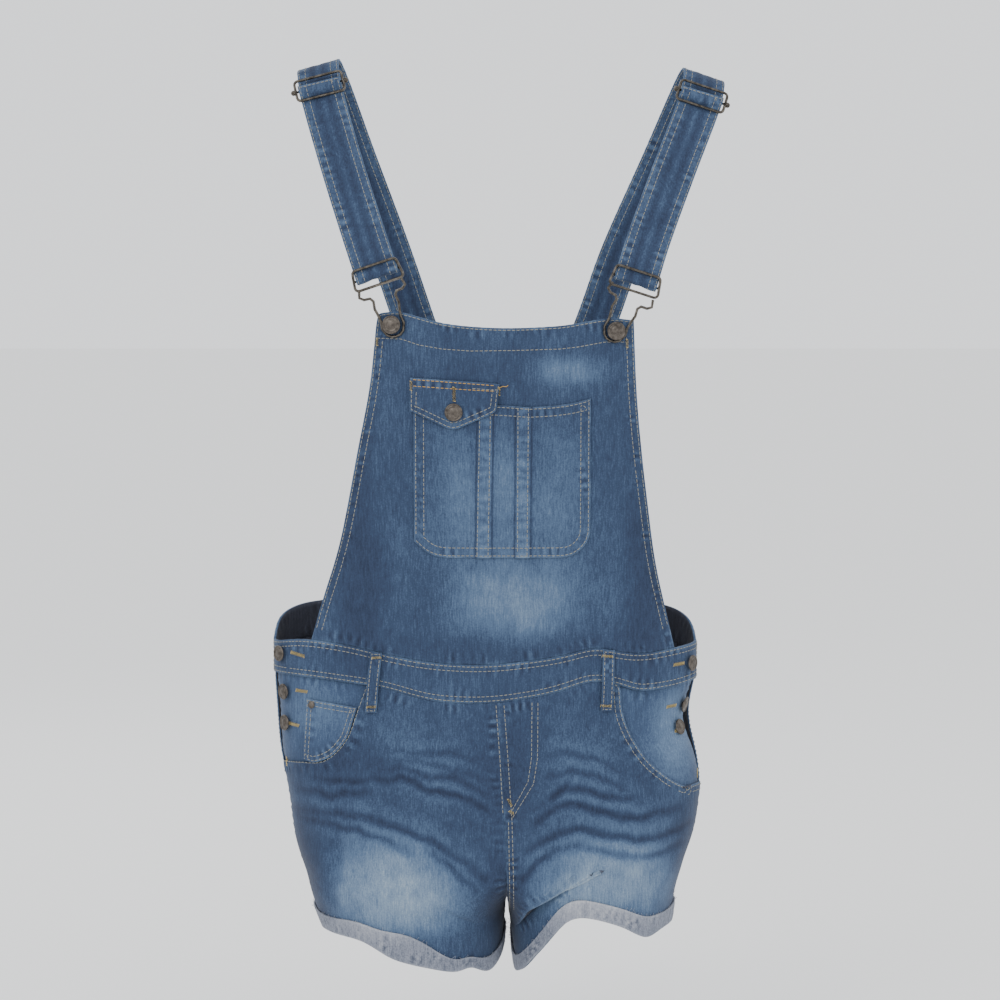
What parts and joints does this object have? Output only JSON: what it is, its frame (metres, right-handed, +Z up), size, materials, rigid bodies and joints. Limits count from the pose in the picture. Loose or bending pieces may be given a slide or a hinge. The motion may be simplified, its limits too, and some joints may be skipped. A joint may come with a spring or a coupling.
{
  "type": "denim shortalls",
  "caption": "Short denim dungarees with a bib, patch pocket with flap, adjustable straps on wire buckles, scooped hip pockets, buttoned sides and turned-up hems, hollow as if worn.",
  "frame": {"origin": "between the two shoulder straps, just under the tops of the straps, where a wearer's shoulders hold the garment up", "axes": "+Z up, -Y out of the front of the bib, +X to the viewer's right when facing the bib"},
  "size_m": [0.4212, 0.2061, 0.8447],
  "materials": {
    "denim": "washed indigo twill with fades and whiskers",
    "denim_light": "lighter washed indigo twill",
    "denim_reverse": "grey speckled reverse of the twill",
    "gunmetal": "antique gunmetal wire",
    "bronze": "dark antique bronze with worn rims"
  },
  "bodies": {
    "root": {"back_left": "denim", "back_right": "denim", "belt_loop_back_left": "denim", "belt_loop_back_right": "denim", "belt_loop_front_left": "denim", "belt_loop_front_right": "denim", "bib": "denim", "bib_button_left": "bronze", "bib_button_right": "bronze", "bib_pocket": "denim", "buckle_left": "gunmetal", "buckle_right": "gunmetal", "coin_pocket": "denim_light", "coin_rivet": "bronze", "cuff_left": "denim_reverse", "cuff_right": "denim_reverse", "flap_button": "bronze", "front_left": "denim", "front_right": "denim", "hip_facing_left": "denim_light", "hip_facing_right": "denim_light", "pocket_flap": "denim", "side_button_left_1": "bronze", "side_button_left_2": "bronze", "side_button_left_3": "bronze", "side_button_right_1": "bronze", "side_button_right_2": "bronze", "side_button_right_3": "bronze", "slider_left": "gunmetal", "slider_right": "gunmetal", "strap_left": "denim", "strap_right": "denim", "waistband_back": "denim", "waistband_front": "denim"}
  },
  "joints": []
}
